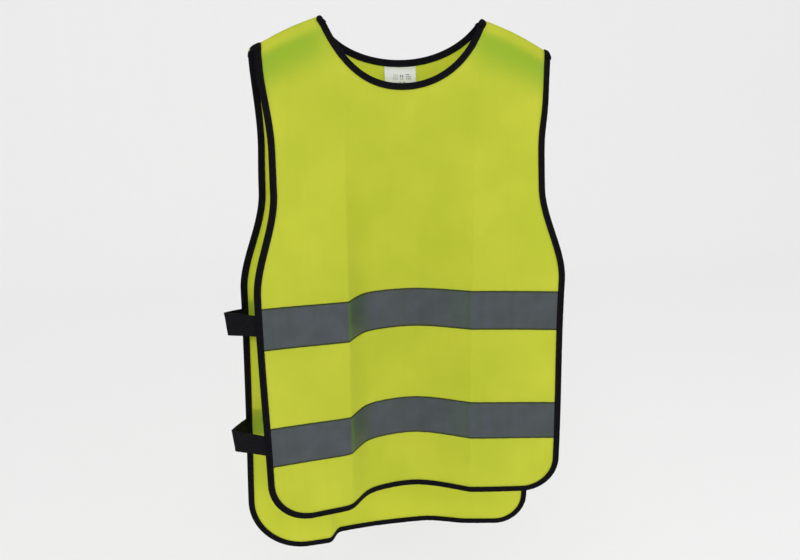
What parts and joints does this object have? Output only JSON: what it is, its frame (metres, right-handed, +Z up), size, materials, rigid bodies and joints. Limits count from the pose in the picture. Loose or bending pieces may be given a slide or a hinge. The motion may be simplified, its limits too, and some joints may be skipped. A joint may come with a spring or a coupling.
{
  "type": "high visibility vest",
  "caption": "Pull-over high visibility vest: yellow front and longer back panel with black binding, reflective bands, elastic side straps and a neck label.",
  "frame": {"origin": "middle of the neck opening, level with the tops of the shoulder seams, where the vest hangs from", "axes": "+X to the wearer's left, +Y to the wearer's back, +Z up; the front panel faces -Y"},
  "size_m": [0.4213, 0.1306, 0.697],
  "materials": {
    "yellow_cloth": "fluorescent yellow smooth knitted polyester, matt, with packing creases",
    "black_binding": "folded black polyester binding with a line of topstitching",
    "reflective_tape": "grey glass bead reflective tape, satin sheen, stitched along both edges",
    "black_elastic": "black ribbed elastic webbing",
    "label_satin": "white satin label with small grey printed marks"
  },
  "bodies": {
    "back": {"back_panel": "yellow_cloth", "back_neck_binding": "black_binding", "back_edge_binding": "black_binding", "back_upper_reflective_band": "reflective_tape", "back_lower_reflective_band": "reflective_tape", "right_shoulder_seam": "yellow_cloth", "left_shoulder_seam": "yellow_cloth"},
    "front": {"front_panel": "yellow_cloth", "front_neck_binding": "black_binding", "front_edge_binding": "black_binding", "front_upper_reflective_band": "reflective_tape", "front_lower_reflective_band": "reflective_tape"},
    "right_upper_strap": {"right_upper_strap": "black_elastic"},
    "right_lower_strap": {"right_lower_strap": "black_elastic"},
    "left_upper_strap": {"left_upper_strap": "black_elastic"},
    "left_lower_strap": {"left_lower_strap": "black_elastic"},
    "label": {"neck_label": "label_satin"}
  },
  "joints": [
    {"name": "front_swing", "type": "hinge", "parent": "back", "child": "front", "pos_m": [0, -0.003, 0], "axis": [-1, 0, 0], "range_deg": [0, 10]},
    {"name": "right_upper_strap_turn", "type": "hinge", "parent": "back", "child": "right_upper_strap", "pos_m": [-0.1914, -0.03, -0.3455], "axis": [0, 0, 1], "range_deg": [0, 25]},
    {"name": "right_lower_strap_turn", "type": "hinge", "parent": "back", "child": "right_lower_strap", "pos_m": [-0.195, -0.0066, -0.4965], "axis": [0, 0, 1], "range_deg": [0, 25]},
    {"name": "left_upper_strap_turn", "type": "hinge", "parent": "back", "child": "left_upper_strap", "pos_m": [0.1928, 0.0076, -0.3455], "axis": [0, 0, 1], "range_deg": [0, 25]},
    {"name": "left_lower_strap_turn", "type": "hinge", "parent": "back", "child": "left_lower_strap", "pos_m": [0.1921, 0.0152, -0.4965], "axis": [0, 0, 1], "range_deg": [0, 25]},
    {"name": "label_flip", "type": "hinge", "parent": "back", "child": "label", "pos_m": [0.003, 0.0087, -0.0544], "axis": [-1, 0, 0], "range_deg": [0, 150]}
  ],
  "couplings": [
    {"joint": "right_upper_strap_turn", "follows": "front_swing", "ratio": 2.5},
    {"joint": "right_lower_strap_turn", "follows": "front_swing", "ratio": 2.5},
    {"joint": "left_upper_strap_turn", "follows": "front_swing", "ratio": 2.5},
    {"joint": "left_lower_strap_turn", "follows": "front_swing", "ratio": 2.5}
  ]
}
